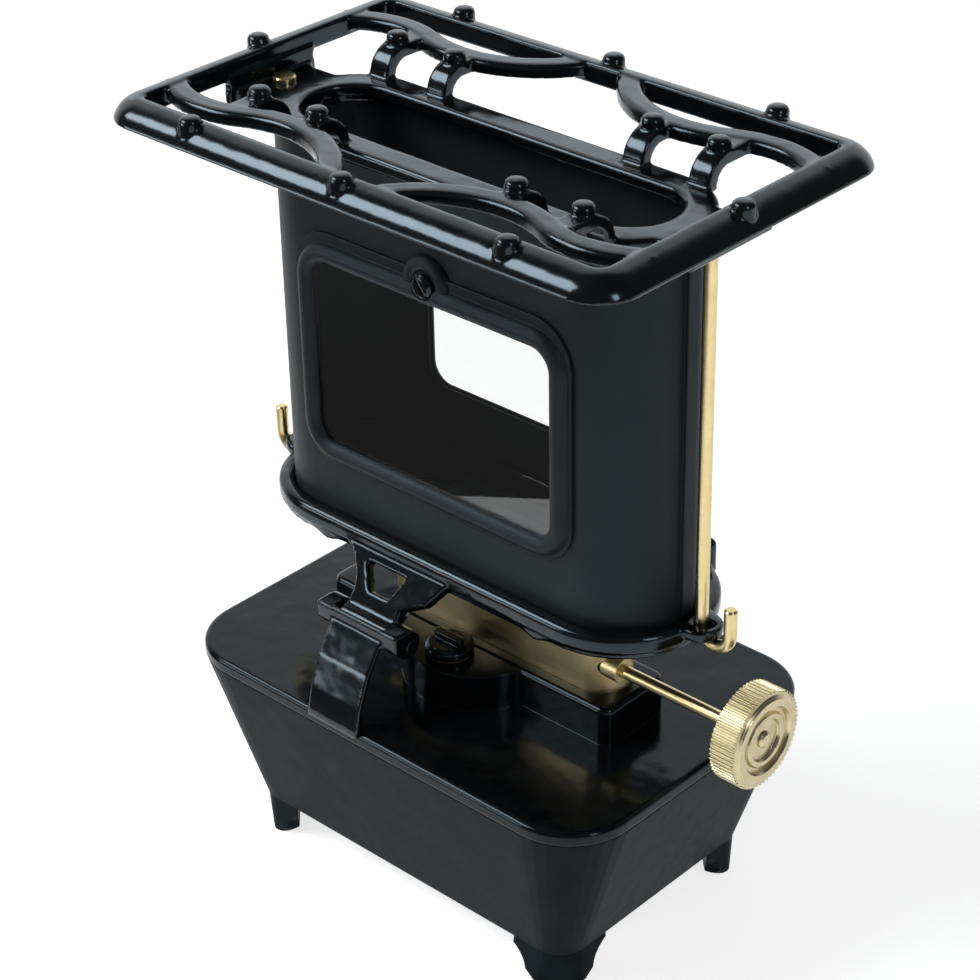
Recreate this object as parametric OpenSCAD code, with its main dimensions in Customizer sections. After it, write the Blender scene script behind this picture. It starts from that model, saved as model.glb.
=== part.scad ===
// Small cast-iron kerosene stove with a flat-wick burner, a windowed sheet chimney and a scroll trivet.
// Millimetres, +Z up, +X along the long side towards the wick knob, -Y to the front.
// Origin on the floor, under the middle of the whole stove's box.

/* [Tank] */
// Length of the tank at its rim
tank_l = 170.4; // [150:0.1:200]
// Depth of the tank at its rim
tank_d = 116.2; // [100:0.1:140]
// Corner radius of the tank at its rim
tank_r = 22; // [12:0.5:30]
// Length of the tank at its bottom
base_l = 135.4; // [120:0.1:150]
// Depth of the tank at its bottom
base_d = 89.6; // [78:0.1:100]
// Corner radius of the tank at its bottom
base_r = 10; // [6:0.5:16]
// Height of the tub from its bottom to the cover's seat
tank_h = 54.3; // [40:0.1:75]
// Wall of the tub casting
tank_wall = 4; // [3:0.1:6]
// Height of the feet
foot_h = 12.5; // [10:0.5:25]
// Thickness of a foot at the floor
foot_t = 7.5; // [5:0.1:10]
// Width of a foot at the floor, across the tank's corner
foot_w = 17; // [12:0.1:22]
// Width of a foot where it meets the tank
foot_top_w = 41; // [36:0.5:48]
// Distance of a foot's middle inside the tank's bottom, along the length
foot_in_x = 7.2; // [6:0.1:11]
// Distance of a foot's middle inside the tank's bottom, along the depth
foot_in_y = 6.4; // [4:0.1:8]

/* [Cover] */
// Thickness of the cover plate
cover_t = 4; // [3:0.1:6]
// Radius of the cover's top edge
cover_edge = 1.6; // [0.8:0.1:2.4]
// How far the pedestal reaches past the wick case
pedestal_past = 4.5; // [3:0.1:8]
// Depth of the burner pedestal
pedestal_d = 28; // [25:0.1:34]
// Height of the burner pedestal
pedestal_h = 13; // [9:0.1:18]
// Rounding of the pedestal's top edge
pedestal_edge = 1.8; // [0.8:0.1:2.5]
// Radius of the round boss that holds the filler
boss_r = 24.5; // [23:0.1:28]
// Distance of the boss's centre in front of the middle
boss_off = 6.5; // [5:0.1:9]

/* [Filler] */
// Radius of the filler bore
filler_r = 5; // [3.5:0.1:6]
// Distance of the filler in front of the middle
filler_off = 20.2; // [19.5:0.1:21]
// Radius of the filler cap
cap_r = 7.6; // [7:0.1:8]
// Height of the filler cap above its washer
cap_h = 3.2; // [2:0.1:6]
// Length of the cap's stem below the boss
stem_l = 12; // [6:0.5:14]
// Wall of the cap's hollow stem
stem_wall = 0.9; // [0.6:0.1:1.2]
// Thickness of the filler washer
washer_t = 1; // [0.6:0.1:2]

/* [Burner] */
// Room from the wick's left edge to the case's end
case_left = 7; // [6.5:0.1:9]
// Room from the wick's right edge to the case's end
case_right = 23; // [18:0.1:26]
// Depth of the brass wick case
case_d = 19; // [18:0.1:21]
// Height of the brass wick case
case_h = 30.4; // [26:0.1:36]
// Depth of the wick case's seat in the pedestal
seat_drop = 2.5; // [1:0.1:4]
// Wall of the wick case
case_wall = 1.2; // [0.8:0.1:1.6]
// Width of the wick
wick_w = 62; // [56:0.5:63]
// Thickness of the wick
wick_t = 3; // [2:0.1:3.4]
// Distance of the wick's middle behind the middle of the stove
wick_off = 1.5; // [1:0.1:2]
// How far the wick stands out of its tube
wick_out = 3; // [1:0.1:6]
// Travel of the wick up and down
wick_travel = 6; // [3:0.1:8]
// How far the wick tube stands above the case
tube_out = 6.8; // [4:0.1:9]
// Wall of the wick tube
tube_wall = 0.8; // [0.5:0.1:1]
// Room between the wick and its tube
wick_gap = 0.4; // [0.2:0.05:0.5]

/* [Wick drive] */
// Radius of the wick shaft
shaft_r = 2; // [1.5:0.05:2.3]
// Height of the wick shaft above the pedestal
shaft_up = 9.2; // [8:0.1:12]
// Distance of the wick shaft in front of the middle
shaft_off = 4; // [3.9:0.05:4.2]
// Tip radius of a wick wheel
wheel_r = 3.6; // [3.2:0.05:3.8]
// Width of a wick wheel
wheel_w = 4; // [2:0.1:6]
// Distance between the two wick wheels
wheel_gap = 34; // [24:0.5:44]
// Teeth on a wick wheel
wheel_teeth = 8; // [6:1:10]
// Radius of the knob
knob_r = 15.5; // [12:0.1:18]
// Thickness of the knob
knob_t = 9.8; // [7:0.1:14]
// Distance from the wick case to the back of the knob
knob_out = 46.5; // [40:0.5:60]
// Ridges round the knob
knob_ridges = 60; // [36:1:72]
// Depth of the knob's ridges
ridge_h = 0.7; // [0.3:0.05:1]

/* [Hinge] */
// Distance of the tilt hinge in front of the middle
hinge_y = 41; // [40:0.1:43]
// Height of the tilt hinge above the cover
hinge_up = 26.7; // [25:0.1:29]
// Distance of the hinge's middle away from the knob
hinge_x = 13.4; // [10:0.1:18]
// Radius of the hinge pin
pin_r = 2; // [1.5:0.05:2.4]
// Radius of the hinge knuckles
knuckle_r = 4; // [3.4:0.1:4.1]
// Width of the bracket strap
strap_w = 21.2; // [17:0.1:26]
// Thickness of the bracket strap
strap_t = 1.6; // [1.2:0.1:2.2]
// Width of each outer knuckle
knuckle_w = 6.2; // [4:0.1:8]

/* [Gallery] */
// Thickness of the gallery's floor
gallery_t = 4; // [3:0.1:6]
// Height of the lip round the chimney
lip_h = 4; // [2.5:0.1:6]
// Width of the lip round the chimney
lip_w = 5.2; // [4:0.1:7]
// How far the gallery's lobes hang below its wall
lobe_drop = 3.6; // [2:0.1:6]
// Distance of a lobe from the middle
lobe_x = 43; // [30:0.5:48]
// Length of the flame slot
slot_l = 84; // [74:0.5:96]
// Depth of the flame slot
slot_d = 26; // [22:0.5:32]
// Height of the upstand inside the chimney
upstand_h = 10; // [5:0.5:14]
// Thickness of the upstand inside the chimney
upstand_t = 2; // [1.5:0.1:3]

/* [Chimney] */
// Length of the chimney
chimney_l = 151.8; // [140:0.1:156]
// Depth of the chimney
chimney_d = 48.6; // [44:0.1:54]
// Height of the chimney
chimney_h = 123.5; // [105:0.5:150]
// Thickness of the chimney's sheet
sheet_t = 1; // [0.6:0.05:1.5]
// Width of the lock seam
seam_w = 5; // [3:0.1:8]
// Height of the lock seam
seam_t = 0.9; // [0.5:0.1:1.5]

/* [Windows] */
// Width of a window's opening
window_w = 93; // [80:0.5:95]
// Height of a window's opening
window_h = 60.4; // [48:0.1:64]
// Corner radius of a window's opening
window_r = 6.2; // [4:0.1:9]
// Height of the windows' middle above the chimney's foot
window_up = 58.5; // [54:0.1:62]
// Width of the bead round a window
bead_w = 6.5; // [5:0.1:7]
// Width of the flange outside the bead
flange_w = 1.2; // [0.6:0.1:2]
// How much further the flange reaches above the bead
flange_up = 2; // [0:0.1:3]
// Thickness of the flange
flange_t = 0.8; // [0.5:0.05:1.2]
// Thickness of a window pane
pane_t = 0.7; // [0.4:0.05:0.75]
// How far a pane reaches behind its frame
pane_lap = 3.4; // [2:0.1:4]
// Height of the frame's screw above the opening
screw_up = 6.1; // [5.9:0.1:8]
// Radius of the screw's head
screw_head_r = 3.75; // [3:0.05:4]
// Radius of the screw's shank
screw_r = 1.5; // [1:0.05:1.8]

/* [Tie rods] */
// Radius of a tie rod
rod_r = 2; // [1.5:0.05:2.2]
// Distance of a tie rod from the chimney's end
rod_off = 6.1; // [5.5:0.1:7]
// Radius of the hook's bend, along its middle
hook_r = 5.25; // [4.9:0.05:6.5]
// Length of the hook's end above the bend
hook_up = 8.5; // [4:0.1:14]
// Radius of a rod nut
nut_r = 3.7; // [3:0.1:4.5]
// Thickness of a rod nut
nut_t = 1.7; // [1.4:0.1:3]

/* [Trivet] */
// Length of the trivet's frame, along the bar's middle
frame_l = 184.8; // [174:0.1:200]
// Depth of the trivet's frame, along the bar's middle
frame_d = 112.8; // [104:0.1:124]
// Corner radius of the frame, along the bar's middle
frame_r = 8.5; // [7:0.1:14]
// Width of the frame's bar
bar_w = 10.2; // [8:0.1:12]
// Height of the frame's bar
bar_h = 6.6; // [5.5:0.1:8]
// Radius of the bar's arched top
bar_arch = 8.7; // [8:0.1:14]
// Distance of the arch's crest from the bar's inner side
bar_crest = 1.5; // [1.2:0.1:4]
// Height of the frame above the chimney ring
bar_up = 3; // [1:0.1:6]
// Width of the chimney ring's bar
ring_w = 9.5; // [7:0.1:11]
// Thickness of the chimney ring
ring_t = 4; // [3:0.1:5]
// Width of a scroll
scroll_w = 7.6; // [6:0.1:9]
// Height of a scroll
scroll_h = 4.2; // [3:0.1:4.5]
// Radius of a scroll's inner sweep
scroll_r = 38.5; // [37:0.5:41]
// Distance of the scroll's dip from the frame's long bar
dip_in = 21.5; // [20:0.1:23]
// Distance of the scroll's dip from the middle
dip_x = 42; // [40:0.5:44]
// Distance of the scroll's crest from the frame's long bar
crest_in = 15; // [14:0.1:16]
// Distance of the scroll's crest from the frame's short bar
crest_x = 21; // [19:0.5:23]
// Width of a lug between a scroll and the ring
lug_w = 7.5; // [6:0.1:9]
// Thickness of a lug
lug_t = 4; // [3:0.1:5]
// Radius of a pot pip
pip_r = 3.4; // [2.5:0.1:4]
// Height of a pot pip on the frame
pip_h = 2.6; // [2:0.1:4]

/* [Clearances] */
// Radial room of a turning shaft or pin
run_gap = 0.05; // [0.02:0.01:0.1]
// Room between fixed pieces that slip together
slip_gap = 0.15; // [0.05:0.01:0.3]
// Room between the gallery and the burner under it
rest_gap = 0.3; // [0.2:0.05:0.5]
// Room between moving pieces side by side
side_gap = 0.3; // [0.2:0.05:0.5]

/* [Hidden] */
$fn = 64;
slab = 0.02;
over = 1;
level_t = 0.4;
root_in = 0.3;

seat_z = foot_h + tank_h;
cover_z = seat_z + cover_t;
pedestal_z = cover_z + pedestal_h;
case_seat = pedestal_z - seat_drop;
case_z = case_seat + case_h;
gallery_z = case_z + rest_gap;
floor_z = gallery_z + gallery_t;
lip_z = floor_z + lip_h;
ring_z = floor_z + chimney_h;
ring_top = ring_z + ring_t;
bar_z = ring_top + bar_up;
bar_top = bar_z + bar_h;
pip_top = bar_top + pip_h;

// Burner levels and places
shaft_z = pedestal_z + shaft_up;
case_end = wick_w / 2 + case_right;
case_start = -wick_w / 2 - case_left;
case_l = case_end - case_start;
case_off = (case_end + case_start) / 2;
pedestal_l = 2 * (case_end + pedestal_past);
tube_l = wick_w + 2 * (wick_gap + tube_wall);
tube_d = wick_t + 2 * (wick_gap + tube_wall);
tube_top = case_z + tube_out;
tube_bottom = cover_z;
wick_bottom = foot_h + tank_wall + wick_travel + 2;
case_floor = 1.2;
bush_r = shaft_r + 2;
bush_proud = 2.4;
knob_x = case_end + knob_out;
mid_x = (knob_x + knob_t - (frame_l + bar_w) / 2) / 2;
rivet_r = 2.6;

// Tilt hinge
hinge_z = cover_z + hinge_up;
knuckle_in = strap_w / 2 - side_gap;
knuckle_out = strap_w / 2 + knuckle_w;
lip_t = 0.9;
cheek_r = knuckle_r + 0.8;
arm_neck = knuckle_r + strap_t + 2.6;
arm_in = knuckle_in - 0.4;
arm_t = 4;
arm_flare = 13.6;

// Gallery outline
gallery_l = chimney_l + 2 * (slip_gap + lip_w);
gallery_d = chimney_d + 2 * (slip_gap + lip_w);
wall_drop = 1.5;
wall_z = floor_z - wall_drop;
rod_x = chimney_l / 2 + rod_off;
ear_r = 6.4;
ear_t = lip_h - 0.5;
ear_z = lip_z - 0.3 - ear_t;

// The hook's bend starts inside the ear, and has moved out by hook_shift at the ear's foot
hook_drop = hook_r - rod_r - 0.25;
hook_out = sqrt(pow(hook_r, 2) - pow(hook_drop, 2));
hook_shift = hook_r - hook_out + rod_r * (hook_r / hook_out - 1) + 4 * slip_gap;

// Windows
window_z = floor_z + window_up;
bead_l = window_w + bead_w;
bead_h = window_h + bead_w;
bead_r = window_r + bead_w / 2;
frame_face = chimney_d / 2 + 0.05;
screw_z = window_z + window_h / 2 + screw_up;
lobe_rim = 2.6;
lobe_r = 6.4;
lobe_floor = 1.6;

// Trivet scroll: two arcs that meet in a smooth bend
frame_hx = frame_l / 2;
frame_hy = frame_d / 2;
dip_y = frame_hy - dip_in;
crest_y = frame_hy - crest_in;
crest_px = frame_hx - crest_x;
bend_a = 2 * atan((crest_y - dip_y) / (crest_px - dip_x));
crest_r = (crest_px - dip_x) / sin(bend_a) - scroll_r;
scroll_z = bar_top - 0.4 - scroll_h;
scroll_top = scroll_z + scroll_h;
lug_x = [0.2054 * frame_l, 0.3332 * frame_l];
pip_x = 0.326 * frame_l;
lug_y = chimney_d / 2 + 4.1;
plate_half = 18;
web_half = plate_half - 0.7;
web_t = 2.8;
web_in = bar_w / 2 + 0.3;

// Height of the scroll's middle line at a distance x from the trivet's middle
function scroll_y(x) = x < dip_x + scroll_r * sin(bend_a)
    ? dip_y + scroll_r - sqrt(pow(scroll_r, 2) - pow(x - dip_x, 2))
    : crest_y - crest_r + sqrt(pow(crest_r, 2) - pow(x - crest_px, 2));

// Outline of a rectangle with round corners
module rounded(l, d, r) {
    square([l - 2 * r, d], center = true);
    square([l, d - 2 * r], center = true);
    for (x = [-1, 1], y = [-1, 1])
        translate([x * (l / 2 - r), y * (d / 2 - r)])
            circle(r);
}

// Outline with straight sides and half-round ends
module stadium(l, d) {
    square([l - d, d], center = true);
    for (x = [-1, 1])
        translate([x * (l - d) / 2, 0])
            circle(d / 2);
}

module stadium_ring(l, d, w) {
    difference() {
        stadium(l, d);
        stadium(l - 2 * w, d - 2 * w);
    }
}

// Section of a bar with a flat foot and a rounded top, centred on x = 0
module bar_section(w, h, r) {
    translate([-w / 2, 0])
        square([w, h - r]);
    translate([-w / 2 + r, 0])
        square([w - 2 * r, h]);
    for (x = [-1, 1])
        translate([x * (w / 2 - r), h - r])
            circle(r);
}

// Section of the trivet's bar: a steep inner side, and a top that arches down to the outer side
module arched_section() {
    corner = 1.1;
    intersection() {
        translate([-bar_w, 0])
            square([2 * bar_w, bar_h + over]);
        rounded(bar_w, 2 * bar_h + 0.4, corner);
        translate([bar_crest - bar_w / 2, bar_h - bar_arch])
            circle(bar_arch);
    }
}

module half_disc(r) {
    intersection() {
        circle(r);
        translate([-2 * r, 0])
            square([4 * r, 2 * r]);
    }
}

// Sweep a section round a rectangle with round corners; the section's x points outwards
module rounded_rail(l, d, r) {
    for (m = [0, 1]) {
        mirror([0, m, 0])
            rotate([90, 0, 90])
                linear_extrude(l - 2 * r, center = true)
                    translate([d / 2, 0])
                        children();
        mirror([m, 0, 0])
            rotate([90, 0, 0])
                linear_extrude(d - 2 * r, center = true)
                    translate([l / 2, 0])
                        children();
        for (n = [0, 1])
            mirror([m, 0, 0])
                mirror([0, n, 0])
                    translate([l / 2 - r, d / 2 - r])
                        rotate_extrude(angle = 90)
                            translate([r, 0])
                                children();
    }
}

// Sweep a section round a stadium; the section's x points outwards
module stadium_rail(l, d) {
    for (m = [0, 1]) {
        mirror([0, m, 0])
            rotate([90, 0, 90])
                linear_extrude(l - d, center = true)
                    translate([d / 2, 0])
                        children();
        mirror([m, 0, 0])
            translate([(l - d) / 2, 0])
                rotate([0, 0, -90])
                    rotate_extrude(angle = 180)
                        translate([d / 2, 0])
                            children();
    }
}

// Solid with a rounded top edge on a rectangle with round corners
module soft_top(l, d, r, h, e) {
    linear_extrude(h - e)
        rounded(l, d, r);
    linear_extrude(h)
        rounded(l - 2 * e, d - 2 * e, r - e);
    translate([0, 0, h - e])
        rounded_rail(l - 2 * e, d - 2 * e, r - e)
            circle(e);
}

// Moves a finished piece so that the origin lies under the middle of the whole box
module placed() {
    translate([-mid_x, 0, 0])
        children();
}

module along_x() {
    rotate([90, 0, 90])
        children();
}

// One level of the tank's tapered wall
module tank_level(z, l, d, r) {
    translate([0, 0, z])
        linear_extrude(level_t)
            rounded(l, d, r, $fn = 32);
}

// Corner of the tank's bottom where a foot grows from, for the corner at +x +y
module foot_root() {
    intersection() {
        rounded(base_l - 2 * root_in, base_d - 2 * root_in, base_r - root_in, $fn = 32);
        translate([base_l / 2, base_d / 2])
            rotate([0, 0, 45])
                square(foot_top_w, center = true);
    }
}

// One foot, with a hollow sweep on each side, for the corner at +x +y
module foot() {
    sweep_r = foot_h - 2.5;
    toe = [base_l / 2 - foot_in_x, base_d / 2 - foot_in_y, 0];
    difference() {
        hull() {
            translate([0, 0, foot_h])
                linear_extrude(2 * level_t)
                    foot_root();
            translate(toe)
                rotate([0, 0, -45])
                    linear_extrude(level_t)
                        rounded(foot_w, foot_t, foot_t / 2 - 0.3, $fn = 32);
        }
        for (m = [-1, 1])
            translate(toe)
                rotate([0, 0, 45])
                    translate([0, m * foot_top_w / 2, foot_h - sweep_r])
                        rotate([0, 90, 0])
                            cylinder(h = 2 * foot_top_w, r = sweep_r, center = true);
        // Flat back, so the foot stays a thick plate up to the tank
        translate(toe)
            rotate([0, 0, 45])
                translate([-foot_top_w - foot_t / 2 - 1, -foot_top_w / 2, -over])
                    cube([foot_top_w, foot_top_w, foot_h + over]);
    }
}

module tank_body() {
    color("#26282a") placed()
        difference() {
            union() {
                hull() {
                    tank_level(seat_z - level_t, tank_l, tank_d, tank_r);
                    tank_level(foot_h, base_l, base_d, base_r);
                }
                for (m = [0, 1], n = [0, 1])
                    mirror([m, 0, 0])
                        mirror([0, n, 0])
                            foot();
            }
            hull() {
                tank_level(seat_z, tank_l - 2 * tank_wall, tank_d - 2 * tank_wall, tank_r - tank_wall);
                tank_level(foot_h + tank_wall, base_l - 2 * tank_wall, base_d - 2 * tank_wall, base_r - tank_wall);
            }
        }
}

module tank_cover() {
    color("#141618") placed()
        difference() {
            union() {
                translate([0, 0, seat_z])
                    soft_top(tank_l, tank_d, tank_r, cover_t, cover_edge);
                translate([0, 0, seat_z + cover_edge])
                    soft_top(pedestal_l, pedestal_d, 4, pedestal_z - seat_z - cover_edge, pedestal_edge);
                translate([0, -boss_off, seat_z + cover_edge])
                    cylinder(h = pedestal_z - seat_z - cover_edge - 0.4, r = boss_r);
            }
            translate([0, wick_off, seat_z - over])
                linear_extrude(pedestal_z - seat_z + 2 * over)
                    rounded(tube_l + 2 * slip_gap, tube_d + 2 * slip_gap, 1);
            translate([case_off, 0, case_seat])
                linear_extrude(pedestal_h)
                    stadium(case_l + 2 * slip_gap, case_d + 2 * slip_gap);
            translate([0, -filler_off, seat_z - over])
                cylinder(h = pedestal_z - seat_z + 2 * over, r = filler_r);
        }
}

// The filler's seat on the boss
filler_seat = pedestal_z - 0.4;

module filler_washer() {
    color("#3a3026") placed()
        translate([0, -filler_off, filler_seat])
            difference() {
                cylinder(h = washer_t, r = cap_r - 0.6);
                translate([0, 0, -over])
                    cylinder(h = washer_t + 2 * over, r = filler_r + 0.3);
            }
}

module filler_cap() {
    color("#17191b") placed()
        translate([0, -filler_off, filler_seat + washer_t]) {
            rotate_extrude()
                polygon([[0, 0], [cap_r, 0], [cap_r, cap_h - 1.2], [cap_r - 1.2, cap_h], [0, cap_h]]);
            translate([0, 0, cap_h - slab])
                linear_extrude(2)
                    rounded(2 * cap_r - 4, 3, 1.2);
        }
}

module cap_stem() {
    stem_r = filler_r - run_gap;
    color("#8a7340") placed()
        translate([0, -filler_off, filler_seat - stem_l])
            difference() {
                cylinder(h = stem_l + washer_t, r = stem_r);
                translate([0, 0, -over])
                    cylinder(h = stem_l + washer_t + 2 * over, r = stem_r - stem_wall);
            }
}

// Bracket profile in the y-z plane: a lip over the tank's edge, a bowed strap and an upright top
module strap_profile() {
    edge_y = tank_d / 2;
    inner_y = hinge_y + knuckle_r + slip_gap;
    top_z = hinge_z + knuckle_r + 1;
    low = [edge_y - 0.9, cover_z + 0.3 * hinge_up];
    bend = [edge_y - 5, cover_z + 0.68 * hinge_up];
    polygon([
        [-edge_y - lip_t, cover_z - 1.4],
        [-edge_y - lip_t, cover_z + 0.6],
        [-low[0], low[1]],
        [-bend[0], bend[1]],
        [-inner_y - strap_t, hinge_z + 1.5],
        [-inner_y - strap_t, top_z],
        [-inner_y, top_z],
        [-inner_y, hinge_z + 0.9],
        [-bend[0] + strap_t, bend[1] - 0.8],
        [-low[0] + strap_t, low[1] - 0.6],
        [-edge_y + 2.6, cover_z],
        [-edge_y - 0.1, cover_z],
        [-edge_y - 0.1, cover_z - 1.4]
    ]);
}

module knuckle_profile() {
    front_y = hinge_y + knuckle_r + slip_gap + strap_t;
    translate([-hinge_y, hinge_z])
        circle(cheek_r);
    translate([-front_y, hinge_z - 1])
        square([front_y - hinge_y, cheek_r + 1]);
}

module hinge_bracket() {
    color("#141618") placed()
        difference() {
            translate([-hinge_x, 0, 0]) {
                along_x()
                    linear_extrude(strap_w, center = true)
                        strap_profile();
                for (m = [0, 1])
                    mirror([m, 0, 0])
                        translate([strap_w / 2 - 0.01, 0, 0])
                            along_x()
                                linear_extrude(knuckle_w + 0.01)
                                    knuckle_profile();
            }
            translate([-hinge_x, -hinge_y, hinge_z])
                along_x()
                    cylinder(h = 2 * knuckle_out + 2 * over, r = pin_r + run_gap, center = true);
        }
}

module hinge_pin() {
    head_t = 1.6;
    tail = 1.2;
    color("#1d1f21") placed()
        translate([-hinge_x - knuckle_out - head_t, -hinge_y, hinge_z])
            along_x() {
                cylinder(h = head_t + 2 * knuckle_out + tail, r = pin_r);
                cylinder(h = head_t, r = pin_r + 1.2);
            }
}

module wick_case() {
    inner_l = case_l - 2 * case_wall;
    inner_d = case_d - 2 * case_wall;
    color("#c9b06a") placed()
        difference() {
            translate([case_off, 0, case_seat])
                linear_extrude(case_h)
                    stadium(case_l, case_d);
            translate([case_off, 0, case_seat + case_floor])
                linear_extrude(case_h)
                    stadium(inner_l, inner_d);
            translate([0, wick_off, case_seat - over])
                linear_extrude(case_floor + 2 * over)
                    rounded(tube_l + 2 * slip_gap, tube_d + 2 * slip_gap, 1);
            translate([case_off, -shaft_off, shaft_z])
                along_x()
                    cylinder(h = case_l + 2 * over, r = bush_r + 0.03, center = true);
        }
}

module wick_tube() {
    color("#b99b55") placed()
        difference() {
            translate([0, wick_off, tube_bottom])
                linear_extrude(tube_top - tube_bottom)
                    rounded(tube_l, tube_d, 1);
            translate([0, wick_off, tube_bottom - over])
                linear_extrude(tube_top - tube_bottom + 2 * over)
                    rounded(tube_l - 2 * tube_wall, tube_d - 2 * tube_wall, 0.4);
            // Slots where the wick wheels reach the wick
            for (m = [-1, 1])
                translate([m * wheel_gap / 2, wick_off - tube_d / 2, shaft_z])
                    cube([wheel_w + 2, 2 * (tube_wall + wick_gap), 2 * wheel_r + 2], center = true);
        }
}

module shaft_bushes() {
    bush_l = 6;
    color("#b8964e") placed()
        for (x = [case_start - bush_proud / 2, case_end + bush_proud - bush_l])
            translate([x, -shaft_off, shaft_z])
                along_x()
                    difference() {
                        cylinder(h = bush_l, r = bush_r);
                        translate([0, 0, -over])
                            cylinder(h = bush_l + 2 * over, r = shaft_r + run_gap);
                    }
}

module wick() {
    color("#e6dfcd") placed()
        translate([0, wick_off, wick_bottom])
            linear_extrude(tube_top + wick_out - wick_bottom)
                rounded(wick_w, wick_t, wick_t / 2 - 0.1);
}

module wick_shaft() {
    color("#d6c184") placed()
        translate([case_start, -shaft_off, shaft_z])
            along_x()
                cylinder(h = knob_x + 0.55 * knob_t - case_start, r = shaft_r);
}

module wick_wheels() {
    root_r = wheel_r - 1;
    step = 360 / wheel_teeth;
    color("#a98a48") placed()
        for (m = [-1, 1])
            translate([m * wheel_gap / 2 - wheel_w / 2, -shaft_off, shaft_z])
                along_x()
                    linear_extrude(wheel_w)
                        difference() {
                            polygon([
                                for (i = [0 : wheel_teeth - 1], k = [0, 1])
                                    let (r = k == 0 ? wheel_r : root_r, a = (i + k / 2) * step)
                                        [r * cos(a), r * sin(a)]
                            ]);
                            circle(shaft_r + 0.01);
                        }
}

module knob_outline() {
    step = 360 / knob_ridges;
    polygon([
        for (i = [0 : knob_ridges - 1], k = [0 : 3])
            let (r = k < 2 ? knob_r : knob_r - ridge_h, a = (i + [0.08, 0.42, 0.58, 0.92][k]) * step)
                [r * cos(a), r * sin(a)]
    ]);
}

module wick_knob() {
    face_r = knob_r - ridge_h - 0.6;
    bevel = 1.1;
    dish_r = 0.7 * knob_r;
    dish = 1.6;
    color("#dccb94") placed()
        translate([knob_x, -shaft_off, shaft_z])
            along_x()
                difference() {
                    union() {
                        translate([0, 0, 0.6])
                            linear_extrude(knob_t - 0.6 - bevel)
                                knob_outline();
                        cylinder(h = 0.62, r = face_r);
                        translate([0, 0, knob_t - bevel - 0.01])
                            cylinder(h = bevel + 0.01, r1 = face_r, r2 = face_r - 1.2);
                    }
                    // Dished face with a raised ring
                    rotate_extrude()
                        polygon([
                            [0, knob_t - dish], [dish_r - 4.6, knob_t - dish], [dish_r - 4, knob_t - 0.5],
                            [dish_r - 2.6, knob_t - 0.5], [dish_r - 2, knob_t - dish], [dish_r - 0.8, knob_t - dish],
                            [dish_r, knob_t + 0.01], [0, knob_t + 0.01]
                        ]);
                    translate([0, 0, -over])
                        cylinder(h = knob_t + 2 * over, r = shaft_r + 0.01);
                }
}

module knob_rivet() {
    seat = knob_t - 1.6;
    color("#cdb878") placed()
        translate([knob_x + 0.55 * knob_t, -shaft_off, shaft_z])
            along_x() {
                cylinder(h = seat - 0.55 * knob_t, r = shaft_r);
                translate([0, 0, seat - 0.55 * knob_t])
                    rotate_extrude()
                        polygon([[0, 0], [rivet_r, 0], [rivet_r, 0.5], [rivet_r - 0.8, 1.1], [0, 1.3]]);
            }
}

// Front or rear edge of the gallery's wall, with a lobe on each side
function lobe(x) = exp(-pow((abs(x) - lobe_x) / 6.5, 2));

module lobe_band() {
    reach = lobe_x + 16;
    rotate([90, 0, 0])
        linear_extrude(gallery_d + 2 * over, center = true)
            polygon(concat(
                [[reach, floor_z], [-reach, floor_z]],
                [for (x = [-reach : 2 : reach]) [x, wall_z - lobe_drop * lobe(x)]]
            ));
}

// Slanted arm in its own plane, from the hinge's middle up to the gallery
module arm_outline(reach) {
    polygon([
        [-arm_in, 0], [arm_in, 0], [arm_in, arm_neck],
        [arm_in + 0.55 * arm_flare, 0.55 * reach], [arm_in + arm_flare, reach],
        [-arm_in - arm_flare, reach], [-arm_in - 0.4 * arm_flare, 0.8 * reach],
        [-arm_in - 0.1 * arm_flare, 0.55 * reach], [-arm_in, arm_neck]
    ]);
}

module gallery_arm() {
    run = hinge_y - gallery_d / 2 + lip_w / 2;
    rise = floor_z - hinge_z - 0.5;
    reach = sqrt(run * run + rise * rise);
    translate([-hinge_x, -hinge_y, hinge_z]) {
        rotate([atan2(rise, run), 0, 0])
            difference() {
                linear_extrude(arm_t, center = true)
                    arm_outline(reach);
                // Window in the arm
                linear_extrude(arm_t + 2 * over, center = true)
                    polygon([
                        [-0.4 * knuckle_in, 0.42 * reach], [0.4 * knuckle_in, 0.42 * reach],
                        [0.7 * knuckle_in, 0.78 * reach], [-0.9 * knuckle_in, 0.78 * reach]
                    ]);
            }
        along_x()
            cylinder(h = 2 * knuckle_in, r = knuckle_r, center = true);
    }
}

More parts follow.
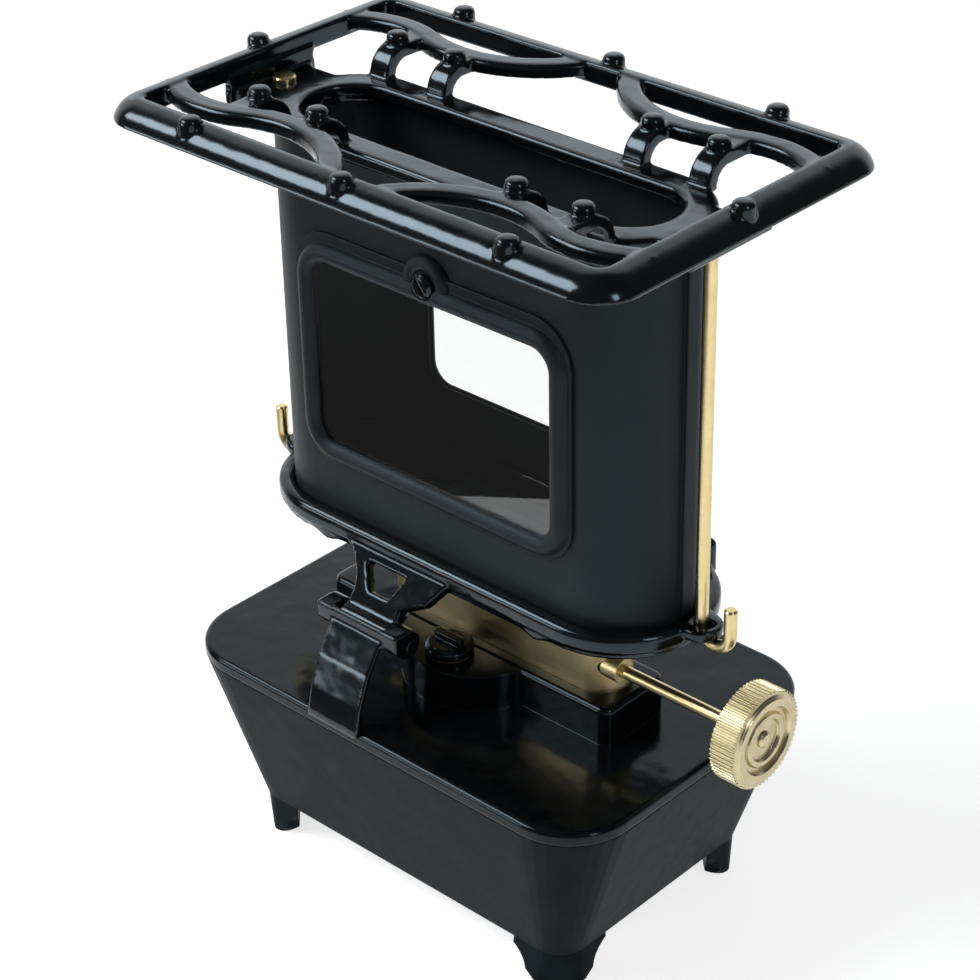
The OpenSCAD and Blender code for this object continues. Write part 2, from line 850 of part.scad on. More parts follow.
module gallery() {
    tab_x = 62;
    tab_r = 2.4;
    tab_h = 9;
    color("#141618") placed()
        difference() {
            union() {
                translate([0, 0, gallery_z])
                    linear_extrude(gallery_t)
                        stadium(gallery_l - 2.4, gallery_d - 2.4);
                // Lip with a rounded top round the chimney's foot
                translate([0, 0, wall_z])
                    stadium_rail(gallery_l - lip_w, gallery_d - lip_w)
                        bar_section(lip_w, lip_z - wall_z, 2);
                // Upstand inside the chimney
                translate([0, 0, floor_z - slab])
                    linear_extrude(upstand_h)
                        stadium_ring(
                            chimney_l - 2 * (sheet_t + slip_gap),
                            chimney_d - 2 * (sheet_t + slip_gap),
                            upstand_t
                        );
                // Lobes that hang from the wall
                intersection() {
                    translate([0, 0, gallery_z - lobe_drop])
                        linear_extrude(floor_z - gallery_z + lobe_drop)
                            stadium_ring(gallery_l - 0.8, gallery_d - 0.8, 4);
                    lobe_band();
                }
                // Ears for the tie rods
                for (m = [0, 1])
                    mirror([m, 0, 0])
                        translate([0, 0, ear_z])
                            linear_extrude(ear_t)
                                difference() {
                                    union() {
                                        translate([rod_x, 0])
                                            circle(ear_r);
                                        translate([chimney_l / 2 + 2, -ear_r])
                                            square([rod_off - 2, 2 * ear_r]);
                                    }
                                    stadium(gallery_l - lip_w, gallery_d - lip_w);
                                }
                gallery_arm();
                // Finger post on the rear edge
                translate([tab_x, gallery_d / 2 - 1.5, wall_z + 1]) {
                    cylinder(h = tab_h, r = tab_r);
                    translate([0, 0, tab_h])
                        sphere(tab_r);
                }
            }
            translate([0, 0, gallery_z - over])
                linear_extrude(gallery_t + 2 * over)
                    stadium(slot_l, slot_d);
            // Slots for the tie rods and the start of their hooks
            for (m = [0, 1])
                mirror([m, 0, 0])
                    translate([rod_x + hook_shift / 2, 0, wall_z - over])
                        linear_extrude(lip_z - wall_z + 2 * over)
                            stadium(2 * (rod_r + slip_gap) + hook_shift, 2 * (rod_r + slip_gap));
            translate([-hinge_x, -hinge_y, hinge_z])
                along_x()
                    cylinder(h = 2 * knuckle_in + 2 * over, r = pin_r + run_gap, center = true);
        }
}

module flame_plate() {
    plate_l = chimney_l - 2 * (sheet_t + 2 * slip_gap + upstand_t);
    plate_d = chimney_d - 2 * (sheet_t + 2 * slip_gap + upstand_t);
    plate_t = 1.5;
    flame_l = tube_l + 8;
    flame_d = tube_d + 8;
    ridge_r = 2.2;
    color("#2b2c2a") placed()
        translate([0, 0, floor_z]) {
            linear_extrude(plate_t)
                difference() {
                    stadium(plate_l, plate_d);
                    translate([0, wick_off])
                        stadium(flame_l, flame_d);
                }
            translate([0, wick_off, plate_t - slab])
                stadium_rail(flame_l + 2 * ridge_r, flame_d + 2 * ridge_r)
                    half_disc(ridge_r);
        }
}

module window_cut(grow) {
    rotate([90, 0, 0])
        linear_extrude(chimney_d + 2 * over, center = true)
            rounded(window_w + 2 * grow, window_h + 2 * grow, window_r + grow);
}

module chimney_shell() {
    color("#2c2f32") placed()
        difference() {
            union() {
                translate([0, 0, floor_z])
                    linear_extrude(chimney_h)
                        stadium(chimney_l, chimney_d);
                // Lock seam down the end that faces the knob
                translate([chimney_l / 2 - sheet_t, -seam_w / 2, lip_z + slip_gap])
                    cube([sheet_t + seam_t, seam_w, ring_z - lip_z - slip_gap - 1]);
            }
            translate([0, 0, floor_z - over])
                linear_extrude(chimney_h + 2 * over)
                    stadium(chimney_l - 2 * sheet_t, chimney_d - 2 * sheet_t);
            translate([0, 0, window_z])
                window_cut(0.8);
            translate([0, 0, screw_z])
                rotate([90, 0, 0])
                    cylinder(h = chimney_d + 2 * over, r = screw_r + slip_gap, center = true);
        }
}

// Pressed window frame, its back on the chimney's face, in its own plane
module window_frame() {
    pane_room = pane_t + 0.1;
    difference() {
        union() {
            translate([0, flange_up / 2, 0])
                linear_extrude(flange_t)
                    rounded(
                        bead_l + bead_w + 2 * flange_w,
                        bead_h + bead_w + 2 * flange_w + flange_up,
                        bead_r + bead_w / 2 + flange_w
                    );
            rounded_rail(bead_l, bead_h, bead_r)
                half_disc(bead_w / 2);
            // Lobe with a raised rim round the screw
            translate([0, window_h / 2 + screw_up, 0]) {
                cylinder(h = lobe_floor, r = lobe_r);
                rotate_extrude(angle = 180)
                    translate([lobe_r, 0])
                        half_disc(lobe_rim);
            }
        }
        translate([0, 0, -over])
            linear_extrude(2 * bead_w)
                rounded(window_w, window_h, window_r);
        translate([0, 0, -over])
            linear_extrude(pane_room + over)
                rounded(window_w + 2 * pane_lap + 0.4, window_h + 2 * pane_lap + 0.4, window_r + 2);
        // Flat seat for the screw
        translate([0, window_h / 2 + screw_up, lobe_floor])
            cylinder(h = bead_w, r = screw_head_r + 0.35);
        translate([0, window_h / 2 + screw_up, -over])
            cylinder(h = bead_w, r = screw_r + slip_gap);
    }
}

module on_front(z) {
    translate([0, -frame_face, z])
        rotate([90, 0, 0])
            children();
}

module on_rear(z) {
    rotate([0, 0, 180])
        on_front(z)
            children();
}

module front_window_frame() {
    color("#25282a") placed()
        on_front(window_z)
            window_frame();
}

module rear_window_frame() {
    color("#25282a") placed()
        on_rear(window_z)
            window_frame();
}

module pane() {
    linear_extrude(pane_t)
        rounded(window_w + 2 * pane_lap, window_h + 2 * pane_lap, window_r + 1.8);
}

module front_pane() {
    color([0.75, 0.72, 0.62, 0.4]) placed()
        on_front(window_z)
            pane();
}

module rear_pane() {
    color([0.75, 0.72, 0.62, 0.4]) placed()
        on_rear(window_z)
            pane();
}

// Slotted pan-head screw, its head's seat at z = 0
module slotted_screw() {
    head_h = 2.2;
    difference() {
        rotate_extrude()
            polygon([
                [0, 0], [screw_head_r, 0], [screw_head_r, head_h - 0.9],
                [screw_head_r - 0.9, head_h], [0, head_h]
            ]);
        rotate([0, 0, -52])
            translate([0, 0, head_h])
                cube([2 * screw_head_r + over, 1.1, 2], center = true);
    }
    translate([0, 0, -lobe_floor - sheet_t - 4])
        cylinder(h = lobe_floor + sheet_t + 4, r = screw_r);
}

module window_screws() {
    color("#1a1c1e") placed() {
        on_front(screw_z)
            translate([0, 0, lobe_floor])
                slotted_screw();
        on_rear(screw_z)
            translate([0, 0, lobe_floor])
                slotted_screw();
    }
}

module window_nuts() {
    nut_h = 2.4;
    for (m = [0, 180])
        color("#8d8f90") placed()
            rotate([0, 0, m])
                translate([0, -chimney_d / 2 + sheet_t, screw_z])
                    rotate([-90, 0, 0])
                        difference() {
                            cylinder(h = nut_h, r = 3.2, $fn = 6);
                            translate([0, 0, -over])
                                cylinder(h = nut_h + 2 * over, r = screw_r + 0.02);
                        }
}

// Rod with a hook at its foot, for the end that faces the knob
module tie_rod() {
    bend_z = ear_z + hook_drop;
    rod_top = ring_top + nut_t - 0.5;
    translate([rod_x, 0, bend_z])
        cylinder(h = rod_top - bend_z, r = rod_r);
    translate([rod_x + hook_r, 0, bend_z])
        rotate([90, 0, 0])
            rotate([0, 0, 180])
                rotate_extrude(angle = 180)
                    translate([hook_r, 0])
                        circle(rod_r);
    translate([rod_x + 2 * hook_r, 0, bend_z]) {
        cylinder(h = hook_up, r = rod_r);
        translate([0, 0, hook_up - slab])
            cylinder(h = 0.6, r1 = rod_r, r2 = rod_r - 0.5);
    }
}

module right_tie_rod() {
    color("#d3bd7c") placed()
        tie_rod();
}

module left_tie_rod() {
    color("#d3bd7c") placed()
        mirror([1, 0, 0])
            tie_rod();
}

module rod_nuts() {
    color("#b9994f") placed()
        for (x = [-rod_x, rod_x])
            translate([x, 0, ring_top])
                difference() {
                    rotate_extrude()
                        polygon([[0, 0], [nut_r, 0], [nut_r, nut_t - 0.5], [nut_r - 0.5, nut_t], [0, nut_t]]);
                    translate([0, 0, -over])
                        cylinder(h = nut_t - 0.5 + over, r = rod_r + 0.01);
                }
}

// Low round pip that a pot stands on, with its foot at height z
module pip(x, y, z) {
    translate([x, y, z])
        rotate_extrude()
            polygon([
                [0, 0], [pip_r, 0], [pip_r, pip_top - z - 1.4], [pip_r - 0.4, pip_top - z - 0.6],
                [pip_r - 1.2, pip_top - z - 0.1], [pip_r - 2, pip_top - z], [0, pip_top - z]
            ]);
}

// One quadrant's scroll, from the long bar to the short bar
module scroll() {
    root = 1.6;
    start_a = 180 + asin((dip_y + scroll_r - frame_hy + root) / scroll_r);
    end_a = acos((frame_hx - root - crest_px) / crest_r);
    edge = 1.7;
    translate([dip_x, dip_y + scroll_r, scroll_z])
        rotate([0, 0, start_a])
            rotate_extrude(angle = 270 + bend_a - start_a)
                translate([scroll_r, 0])
                    bar_section(scroll_w, scroll_h, edge);
    translate([crest_px, crest_y - crest_r, scroll_z])
        rotate([0, 0, end_a])
            rotate_extrude(angle = 90 + bend_a - end_a)
                translate([crest_r, 0])
                    bar_section(scroll_w, scroll_h, edge);
}

// Lug that curls from a scroll down to the chimney ring
module lug(x) {
    curl_r = scroll_top - 0.3 - ring_top;
    translate([x, 0, 0])
        along_x()
            linear_extrude(lug_w, center = true) {
                translate([lug_y, scroll_top - 0.3 - lug_t])
                    square([scroll_y(x) - lug_y, lug_t]);
                intersection() {
                    translate([lug_y, ring_top])
                        difference() {
                            circle(curl_r);
                            circle(curl_r - lug_t);
                        }
                    translate([lug_y - curl_r - over, ring_top - 1])
                        square([curl_r + over + 0.01, curl_r + 2]);
                }
            }
}

// Plate between the ring's end and the frame's short bar
module end_plate() {
    flare = 4.5;
    half = plate_half - flare;
    near_x = chimney_l / 2 - ring_w / 2;
    difference() {
        translate([near_x, -half - flare])
            square([frame_hx - web_in + 0.5 * web_t - near_x, 2 * (half + flare)]);
        for (y = [-1, 1])
            translate([frame_hx - web_in - flare, y * (half + flare)])
                circle(flare);
        for (y = [-1, 1])
            translate([near_x - over, y * (half + flare) - flare])
                square([frame_hx - web_in - flare - near_x + over, 2 * flare]);
    }
}

module trivet() {
    color("#131517") placed()
        difference() {
            union() {
                translate([0, 0, bar_z])
                    rounded_rail(frame_l, frame_d, frame_r)
                        arched_section();
                translate([0, 0, ring_z])
                    stadium_rail(chimney_l + 4 - ring_w, chimney_d - ring_w)
                        bar_section(ring_w, ring_t, 1.2);
                // Rim inside the chimney's top
                translate([0, 0, ring_z - 4])
                    linear_extrude(4 + slab)
                        stadium_ring(chimney_l - 2 * (sheet_t + slip_gap), chimney_d - 2 * (sheet_t + slip_gap), 2);
                for (m = [0, 1], n = [0, 1])
                    mirror([m, 0, 0])
                        mirror([0, n, 0]) {
                            scroll();
                            for (x = lug_x) {
                                lug(x);
                                pip(x, lug_y, scroll_top - 1.5);
                            }
                            pip(pip_x, frame_hy, bar_z + 1);
                        }
                for (m = [0, 1])
                    mirror([m, 0, 0]) {
                        translate([0, 0, ring_z])
                            linear_extrude(ring_t)
                                end_plate();
                        // Web from the end plate up to the short bar
                        translate([frame_hx - web_in - 0.4, -web_half, ring_z + 0.3])
                            cube([web_t, 2 * web_half, bar_z + 1.5 - ring_z]);
                        pip(frame_hx, 0, bar_z + 1);
                    }
                for (n = [-1, 1])
                    pip(0, n * frame_hy, bar_z + 1);
            }
            for (x = [-rod_x, rod_x])
                translate([x, 0, ring_z - over])
                    cylinder(h = ring_t + 2 * over, r = rod_r + slip_gap);
            // Room for the rod nuts
            for (x = [-rod_x, rod_x])
                translate([x, 0, ring_top + slab])
                    cylinder(h = nut_t + slip_gap, r = nut_r + 2 * slip_gap);
        }
}

tank_body();
tank_cover();
hinge_bracket();
hinge_pin();
filler_washer();
filler_cap();
cap_stem();
wick_case();
wick_tube();
shaft_bushes();
wick();
wick_shaft();
wick_wheels();
wick_knob();
knob_rivet();
gallery();
flame_plate();
chimney_shell();
front_window_frame();
rear_window_frame();
front_pane();
rear_pane();
window_screws();
window_nuts();
left_tie_rod();
right_tie_rod();
rod_nuts();
trivet();
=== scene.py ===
import math

import bpy
from mathutils import Matrix, Vector


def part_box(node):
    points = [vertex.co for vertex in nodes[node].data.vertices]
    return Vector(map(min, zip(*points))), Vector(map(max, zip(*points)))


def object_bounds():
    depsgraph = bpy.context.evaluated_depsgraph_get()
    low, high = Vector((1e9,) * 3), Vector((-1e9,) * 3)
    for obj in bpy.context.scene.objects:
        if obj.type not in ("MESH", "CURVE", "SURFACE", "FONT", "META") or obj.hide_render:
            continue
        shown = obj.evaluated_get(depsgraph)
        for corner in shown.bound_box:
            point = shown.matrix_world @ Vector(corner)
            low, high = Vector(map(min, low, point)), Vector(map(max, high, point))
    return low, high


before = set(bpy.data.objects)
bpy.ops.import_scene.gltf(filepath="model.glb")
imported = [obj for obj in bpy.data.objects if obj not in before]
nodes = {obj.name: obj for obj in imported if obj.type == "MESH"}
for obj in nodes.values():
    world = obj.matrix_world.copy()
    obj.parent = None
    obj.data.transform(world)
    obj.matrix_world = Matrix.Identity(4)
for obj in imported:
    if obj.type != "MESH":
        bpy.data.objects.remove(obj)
cad_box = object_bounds()
scene = bpy.context.scene


# Camera, with lengths in metres

CAM_PLACE = Vector((0.476461, -0.514816, 0.549307))
CAM_TURN = math.radians(43.197)
CAM_TILT = math.radians(30.592)
CAM_ROLL = math.radians(1.172)
FOCAL_PX = 2699.59
IMAGE_PX = 980
SENSOR_MM = 36
CLIP_NEAR = 0.01
CLIP_FAR = 50


def add_camera():
    data = bpy.data.cameras.new("camera")
    data.sensor_width = SENSOR_MM
    data.lens = FOCAL_PX / IMAGE_PX * SENSOR_MM
    data.clip_start = CLIP_NEAR
    data.clip_end = CLIP_FAR
    right = Vector((math.cos(CAM_TURN), math.sin(CAM_TURN), 0))
    ahead = Vector((
        -math.sin(CAM_TURN) * math.cos(CAM_TILT),
        math.cos(CAM_TURN) * math.cos(CAM_TILT),
        -math.sin(CAM_TILT),
    ))
    down = ahead.cross(right)
    across = right * math.cos(CAM_ROLL) + down * math.sin(CAM_ROLL)
    below = down * math.cos(CAM_ROLL) - right * math.sin(CAM_ROLL)
    turn = Matrix((across, -below, -ahead)).transposed().to_4x4()
    cam = bpy.data.objects.new("camera", data)
    cam.matrix_world = Matrix.Translation(CAM_PLACE) @ turn
    scene.collection.objects.link(cam)
    scene.camera = cam


# Node helpers

BEVEL_SAMPLES = 6


def is_socket(value):
    return hasattr(value, "is_output")


def maths(tree, operation, first, second):
    """One sum on two sockets or numbers"""
    node = tree.nodes.new("ShaderNodeMath")
    node.operation = operation
    for socket, value in zip(node.inputs, (first, second)):
        if is_socket(value):
            tree.links.new(value, socket)
        else:
            socket.default_value = value
    return node.outputs["Value"]


class Tree:
    """A material's node tree, with short calls for the nodes used here"""

    def __init__(self, name):
        self.mat = bpy.data.materials.new(name)
        self.mat.use_nodes = True
        self.tree = self.mat.node_tree
        self.tree.nodes.clear()
        self.out = self.add("ShaderNodeOutputMaterial")
        self.coord = self.add("ShaderNodeTexCoord").outputs["Object"]

    def add(self, kind, **settings):
        node = self.tree.nodes.new(kind)
        for key, value in settings.items():
            setattr(node, key, value)
        return node

    def link(self, a, b):
        self.tree.links.new(a, b)

    def mapped(self, name, value):
        """The object's coordinates with one setting of a mapping node"""
        node = self.add("ShaderNodeMapping")
        self.link(self.coord, node.inputs["Vector"])
        node.inputs[name].default_value = value
        return node.outputs["Vector"]

    def noise(self, scale, detail, vector=None):
        node = self.add("ShaderNodeTexNoise")
        self.link(vector or self.coord, node.inputs["Vector"])
        node.inputs["Scale"].default_value = scale
        node.inputs["Detail"].default_value = detail
        return node.outputs["Fac"]

    def wave(self, scale, distortion, vector=None, **settings):
        node = self.add("ShaderNodeTexWave", **settings)
        self.link(vector or self.coord, node.inputs["Vector"])
        node.inputs["Scale"].default_value = scale
        node.inputs["Distortion"].default_value = distortion
        return node.outputs["Fac"]

    def ramp(self, fac, low, high, shades):
        """Colour from the first shade at low to the second at high"""
        node = self.add("ShaderNodeValToRGB")
        self.link(fac, node.inputs["Fac"])
        for stop, place, shade in zip(node.color_ramp.elements, (low, high), shades):
            stop.position = place
            stop.color = (*shade, 1)
        return node.outputs["Color"]

    def remap(self, fac, low, high):
        node = self.add("ShaderNodeMapRange")
        self.link(fac, node.inputs["Value"])
        node.inputs["To Min"].default_value = low
        node.inputs["To Max"].default_value = high
        return node.outputs["Result"]

    def bevel(self, radius):
        node = self.add("ShaderNodeBevel", samples=BEVEL_SAMPLES)
        node.inputs["Radius"].default_value = radius
        return node.outputs["Normal"]

    def bump(self, height, depth, normal=None):
        node = self.add("ShaderNodeBump")
        self.link(height, node.inputs["Height"])
        node.inputs["Distance"].default_value = depth
        node.inputs["Strength"].default_value = 1
        if normal:
            self.link(normal, node.inputs["Normal"])
        return node.outputs["Normal"]

    def surface(self, colour, rough, normal=None, **values):
        node = self.add("ShaderNodeBsdfPrincipled")
        for value, name in ((colour, "Base Color"), (rough, "Roughness"), (normal, "Normal")):
            if is_socket(value):
                self.link(value, node.inputs[name])
            elif value is not None:
                node.inputs[name].default_value = value
        for name, value in values.items():
            node.inputs[name.replace("_", " ")].default_value = value
        self.link(node.outputs["BSDF"], self.out.inputs["Surface"])


# Materials, each with its darkest and its lightest shade

ENAMEL_SHADES = ((0.0022, 0.0029, 0.0035), (0.0052, 0.0067, 0.008))
IRON_SHADES = ((0.0078, 0.0128, 0.016), (0.0128, 0.0202, 0.025))
SHEET_SHADES = ((0.0098, 0.0128, 0.0148), (0.0152, 0.0192, 0.0218))
BRASS_SHADES = ((0.70, 0.56, 0.28), (0.82, 0.68, 0.38))
TURNED_SHADES = ((0.55, 0.47, 0.29), (0.66, 0.58, 0.38))
MICA_SHADES = ((0.985, 0.985, 0.98), (1, 1, 0.995))
COTTON_SHADES = ((0.50, 0.44, 0.33), (0.82, 0.77, 0.66))
FIBRE_SHADES = ((0.035, 0.024, 0.016), (0.075, 0.055, 0.038))
ZINC_SHADES = ((0.42, 0.43, 0.45), (0.60, 0.61, 0.63))

# Cool sheen of the black coats
COOL = (0.66, 0.86, 1, 1)

# Stretch that lays the brass's fine lines along x or along z
LINES_ALONG_X = (0.05, 1, 1)
LINES_ALONG_Z = (1, 1, 0.05)


def enamel(name, wave_depth, shine):
    """Black enamel on cast iron, with the soft waves of a dipped casting"""
    t = Tree(name)
    colour = t.ramp(t.noise(scale=140, detail=4), low=0.35, high=0.7, shades=ENAMEL_SHADES)
    rough = t.remap(t.noise(scale=220, detail=4), low=0.1, high=0.18)
    wave = t.bump(t.noise(scale=70, detail=2), wave_depth, t.bevel(radius=0.0007))
    skin = t.bump(t.noise(scale=900, detail=2), depth=0.00001, normal=wave)
    t.surface(colour, rough, skin, Specular_Tint=COOL, Specular_IOR_Level=shine)
    return t.mat


def gloss_enamel():
    return enamel("gloss_enamel", wave_depth=0.0003, shine=0.55)


def cover_enamel():
    return enamel("cover_enamel", wave_depth=0.0003, shine=0.26)


def lumpy_enamel():
    return enamel("lumpy_enamel", wave_depth=0.0005, shine=0.5)


def satin_iron():
    """Satin black paint on cast iron, with a fine sandy skin"""
    t = Tree("satin_iron")
    colour = t.ramp(t.noise(scale=90, detail=5), low=0.3, high=0.75, shades=IRON_SHADES)
    rough = t.remap(t.noise(scale=260, detail=4), low=0.34, high=0.46)
    wave = t.bump(t.noise(scale=60, detail=2), depth=0.0002, normal=t.bevel(radius=0.0012))
    skin = t.bump(t.noise(scale=2600, detail=3), depth=0.00005, normal=wave)
    t.surface(colour, rough, skin, Specular_Tint=COOL, Specular_IOR_Level=0.03)
    return t.mat


def painted_sheet():
    """Semi-matte black stove paint on sheet steel"""
    t = Tree("painted_sheet")
    colour = t.ramp(t.noise(scale=60, detail=5), low=0.3, high=0.75, shades=SHEET_SHADES)
    rough = t.remap(t.noise(scale=300, detail=4), low=0.44, high=0.56)
    skin = t.bump(t.noise(scale=3200, detail=3), depth=0.00003, normal=t.bevel(radius=0.0006))
    t.surface(colour, rough, skin, Specular_Tint=COOL, Specular_IOR_Level=0.28)
    return t.mat


def brass(name, rough_low, rough_high, line_stretch):
    """Pale lacquered brass with fine lines along one axis"""
    t = Tree(name)
    colour = t.ramp(t.noise(scale=180, detail=4), low=0.3, high=0.75, shades=BRASS_SHADES)
    line = t.noise(scale=900, detail=3, vector=t.mapped("Scale", line_stretch))
    rough = t.remap(line, rough_low, rough_high)
    skin = t.bump(line, depth=0.000006, normal=t.bevel(radius=0.0003))
    t.surface(colour, rough, skin, Metallic=1)
    return t.mat


def polished_brass():
    return brass("polished_brass", 0.22, 0.34, LINES_ALONG_Z)


def drawn_brass():
    return brass("drawn_brass", 0.27, 0.35, LINES_ALONG_X)


def satin_brass():
    return brass("satin_brass", 0.34, 0.46, LINES_ALONG_X)


def turned_brass():
    """Brass turned on a lathe, with rings round the knob's axis"""
    t = Tree("turned_brass")
    low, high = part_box("wick_knob")
    middle = (low + high) / 2
    place = t.mapped("Location", (0, -middle.y, -middle.z))
    ring = t.wave(scale=500, distortion=1.2, vector=place, wave_type="RINGS", rings_direction="X")
    colour = t.ramp(t.noise(scale=180, detail=4), low=0.3, high=0.75, shades=TURNED_SHADES)
    rough = t.remap(ring, low=0.2, high=0.34)
    skin = t.bump(ring, depth=0.000008, normal=t.bevel(radius=0.0003))
    t.surface(colour, rough, skin, Metallic=1)
    return t.mat


def clear_mica():
    """Clear pane with faint cloudy smears"""
    t = Tree("clear_mica")
    colour = t.ramp(t.noise(scale=40, detail=4), low=0.3, high=0.8, shades=MICA_SHADES)
    t.surface(colour, rough=0, Transmission_Weight=1, IOR=1.45)
    return t.mat


def cotton():
    """Woven cotton wick"""
    t = Tree("cotton")
    warp = t.wave(scale=400, distortion=0.6, bands_direction="X")
    weft = t.wave(scale=400, distortion=0.6, bands_direction="Z")
    weave = maths(t.tree, "MULTIPLY", warp, weft)
    colour = t.ramp(weave, low=0, high=1, shades=COTTON_SHADES)
    t.surface(colour, rough=0.92, normal=t.bump(weave, depth=0.0004))
    return t.mat


def seal():
    """Dark fibre washer"""
    t = Tree("seal")
    colour = t.ramp(t.noise(scale=700, detail=5), low=0.3, high=0.7, shades=FIBRE_SHADES)
    rough = t.remap(t.noise(scale=500, detail=3), low=0.7, high=0.9)
    t.surface(colour, rough, t.bump(t.noise(scale=1500, detail=3), depth=0.0001))
    return t.mat


def zinc_steel():
    """Bright zinc-plated steel"""
    t = Tree("zinc_steel")
    colour = t.ramp(t.noise(scale=300, detail=4), low=0.3, high=0.7, shades=ZINC_SHADES)
    rough = t.remap(t.noise(scale=500, detail=4), low=0.25, high=0.42)
    t.surface(colour, rough, t.bevel(radius=0.0003), Metallic=1)
    return t.mat


FINISH = {
    cover_enamel: ["tank_cover"],
    gloss_enamel: ["hinge_pin", "filler_cap", "trivet", "window_screws"],
    lumpy_enamel: ["hinge_bracket", "gallery"],
    satin_iron: ["tank_body", "flame_plate"],
    painted_sheet: ["chimney_shell", "front_window_frame", "rear_window_frame"],
    polished_brass: ["left_tie_rod", "right_tie_rod", "rod_nuts", "wick_wheels", "cap_stem"],
    drawn_brass: ["wick_shaft"],
    satin_brass: ["wick_case", "wick_tube", "shaft_bushes"],
    turned_brass: ["wick_knob", "knob_rivet"],
    clear_mica: ["front_pane", "rear_pane"],
    cotton: ["wick"],
    seal: ["filler_washer"],
    zinc_steel: ["window_nuts"],
}


def dress():
    for make, names in FINISH.items():
        mat = make()
        for name in names:
            data = nodes[name].data
            data.materials.clear()
            data.materials.append(mat)


# Soft edges of the castings, by the voxel size of each in metres

CAST_VOXEL = {"trivet": 0.00055, "gallery": 0.0006, "hinge_bracket": 0.0005}
SMOOTH_FACTOR = 0.5
SMOOTH_ROUNDS = 4


def soften(name, voxel):
    remesh = nodes[name].modifiers.new("cast", "REMESH")
    remesh.mode = "VOXEL"
    remesh.voxel_size = voxel
    remesh.use_smooth_shade = True
    smooth = nodes[name].modifiers.new("flow", "SMOOTH")
    smooth.factor = SMOOTH_FACTOR
    smooth.iterations = SMOOTH_ROUNDS


# Floor, backdrop and light

BACKDROP_WAY = (-0.66, 0.74, -0.12)
BACKDROP_STARTS = 0.3
BACKDROP_FULL = 0.65
BACKDROP_WHITE = (1, 1, 1, 1)
ROOM_LEVEL = 0.1
TABLE_WHITE = (0.86, 0.86, 0.86, 1)
TABLE_GLOW = 0.75
TABLE_EDGE_WAY = Vector((-0.6, -0.8, 0))
TABLE_EDGE = 0.26
TABLE_BACK = -3
TABLE_HALF = 3
UNDER_ONE_BOUNCE = 0.5
KEY_COLOUR = (0.95, 0.98, 1)
PANEL_COLOUR = (0.7, 0.88, 1)
PLAIN_COLOUR = (1, 1, 1)


def either(tree, *tests):
    """The highest of several ray tests"""
    best = tests[0]
    for test in tests[1:]:
        best = maths(tree, "MAXIMUM", best, test)
    return best


def through_glass(tree, path):
    """Ray test for what the eye sees straight through a pane, with no other bounce on the way"""
    bounces = maths(tree, "ADD", path.outputs["Diffuse Depth"], path.outputs["Glossy Depth"])
    straight = maths(tree, "LESS_THAN", bounces, UNDER_ONE_BOUNCE)
    return maths(tree, "MULTIPLY", straight, path.outputs["Is Transmission Ray"])


def table_paint():
    """White table top that glows a little to the eye, and still takes the stove's shadow"""
    t = Tree("pale_floor")
    path = t.add("ShaderNodeLightPath")
    seen = either(
        t.tree,
        path.outputs["Is Camera Ray"],
        path.outputs["Is Glossy Ray"],
        through_glass(t.tree, path),
    )
    glow = t.add("ShaderNodeEmission")
    t.link(t.remap(seen, low=0, high=TABLE_GLOW), glow.inputs["Strength"])
    matte = t.add("ShaderNodeBsdfDiffuse")
    matte.inputs["Color"].default_value = TABLE_WHITE
    both = t.add("ShaderNodeAddShader")
    t.link(matte.outputs["BSDF"], both.inputs[0])
    t.link(glow.outputs["Emission"], both.inputs[1])
    t.link(both.outputs["Shader"], t.out.inputs["Surface"])
    return t.mat


def pale_floor():
    """Table top with one edge near the stove, turned to lie square to TABLE_EDGE_WAY"""
    along = TABLE_EDGE_WAY.cross(Vector((0, 0, 1)))
    corners = [
        TABLE_EDGE * TABLE_EDGE_WAY - TABLE_HALF * along,
        TABLE_EDGE * TABLE_EDGE_WAY + TABLE_HALF * along,
        TABLE_BACK * TABLE_EDGE_WAY + TABLE_HALF * along,
        TABLE_BACK * TABLE_EDGE_WAY - TABLE_HALF * along,
    ]
    data = bpy.data.meshes.new("floor")
    data.from_pydata(corners, [], [(0, 1, 2, 3)])
    data.materials.append(table_paint())
    floor = bpy.data.objects.new("floor", data)
    scene.collection.objects.link(floor)


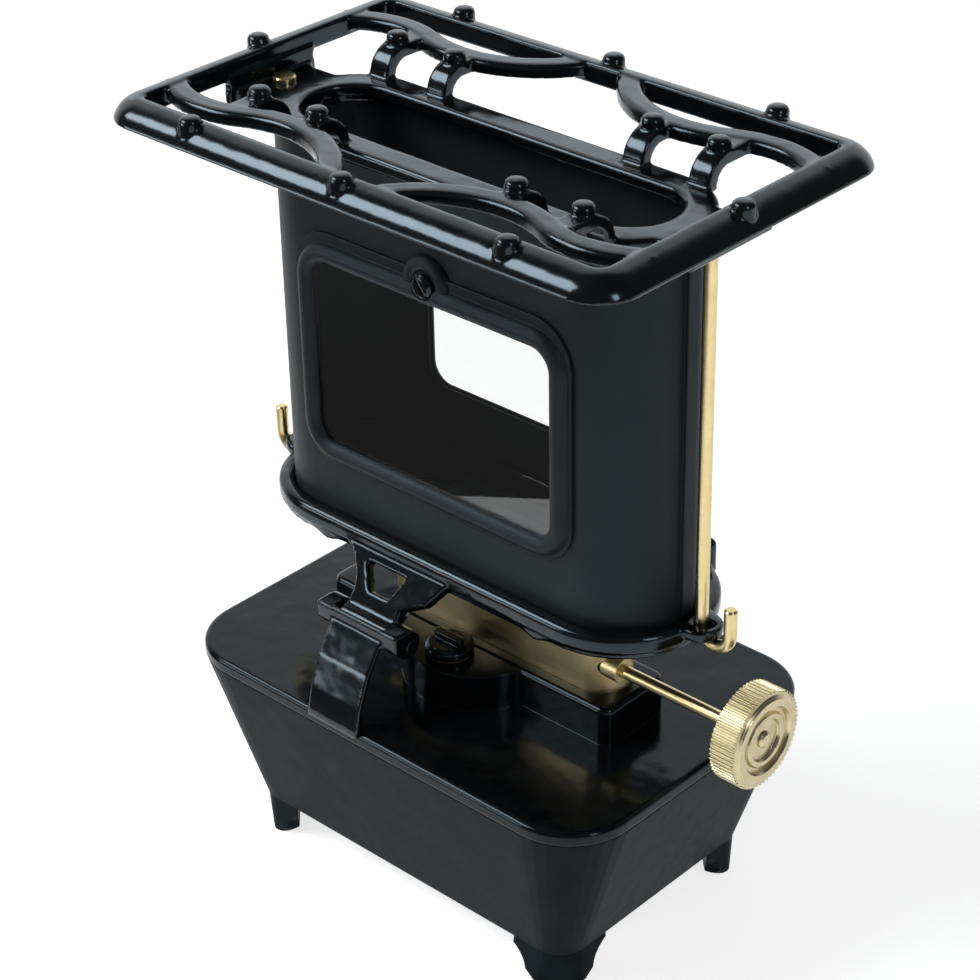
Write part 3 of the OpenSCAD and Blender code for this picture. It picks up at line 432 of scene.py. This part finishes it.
def world_light():
    """White backdrop, which metal and glass show where it stands behind the stove, in a dim room"""
    world = bpy.data.worlds.new("studio")
    world.use_nodes = True
    scene.world = world
    tree = world.node_tree
    tree.nodes.clear()
    out = tree.nodes.new("ShaderNodeOutputWorld")
    back = tree.nodes.new("ShaderNodeBackground")
    back.inputs["Color"].default_value = BACKDROP_WHITE
    tree.links.new(back.outputs["Background"], out.inputs["Surface"])
    path = tree.nodes.new("ShaderNodeLightPath")
    coord = tree.nodes.new("ShaderNodeTexCoord")
    side = tree.nodes.new("ShaderNodeVectorMath")
    side.operation = "DOT_PRODUCT"
    side.inputs[1].default_value = BACKDROP_WAY
    tree.links.new(coord.outputs["Generated"], side.inputs[0])
    sweep = tree.nodes.new("ShaderNodeMapRange")
    sweep.interpolation_type = "SMOOTHSTEP"
    sweep.inputs["From Min"].default_value = BACKDROP_STARTS
    sweep.inputs["From Max"].default_value = BACKDROP_FULL
    tree.links.new(side.outputs["Value"], sweep.inputs["Value"])
    mirrored = maths(tree, "MULTIPLY", sweep.outputs["Result"], path.outputs["Is Glossy Ray"])
    seen = either(tree, path.outputs["Is Camera Ray"], through_glass(tree, path), mirrored)
    level = tree.nodes.new("ShaderNodeMapRange")
    level.inputs["To Min"].default_value = ROOM_LEVEL
    tree.links.new(seen, level.inputs["Value"])
    tree.links.new(level.outputs["Result"], back.inputs["Strength"])


def softbox(name, way, far, size, radiance, colour):
    """Area lamp that stands off the stove's middle in one direction and faces it"""
    data = bpy.data.lights.new(name, "AREA")
    data.color = colour
    data.shape = "RECTANGLE"
    data.size, data.size_y = size
    data.energy = radiance * math.pi * size[0] * size[1]
    lamp = bpy.data.objects.new(name, data)
    way = Vector(way).normalized()
    lamp.location = (cad_box[0] + cad_box[1]) / 2 + far * way
    lamp.rotation_euler = (-way).to_track_quat("-Z", "Y").to_euler()
    lamp.visible_camera = False
    scene.collection.objects.link(lamp)


def add_lamps():
    softbox("key", (-0.548, -0.51, 0.663), far=1.2, size=(0.7, 0.44), radiance=9.5, colour=KEY_COLOUR)
    softbox("panel", (-0.67, 0.66, 0.335), far=3.1, size=(2.4, 0.95), radiance=0.6, colour=PANEL_COLOUR)
    softbox("window", (0.85, -0.2, 0.5), far=1.3, size=(0.22, 0.4), radiance=7, colour=PLAIN_COLOUR)
    softbox("low", (-0.6, -0.77, 0.08), far=1.2, size=(0.5, 0.26), radiance=7, colour=PLAIN_COLOUR)


add_camera()
dress()
for name, voxel in CAST_VOXEL.items():
    soften(name, voxel)
pale_floor()
world_light()
add_lamps()

scene.view_settings.view_transform = "Standard"
bpy.context.view_layer.update()
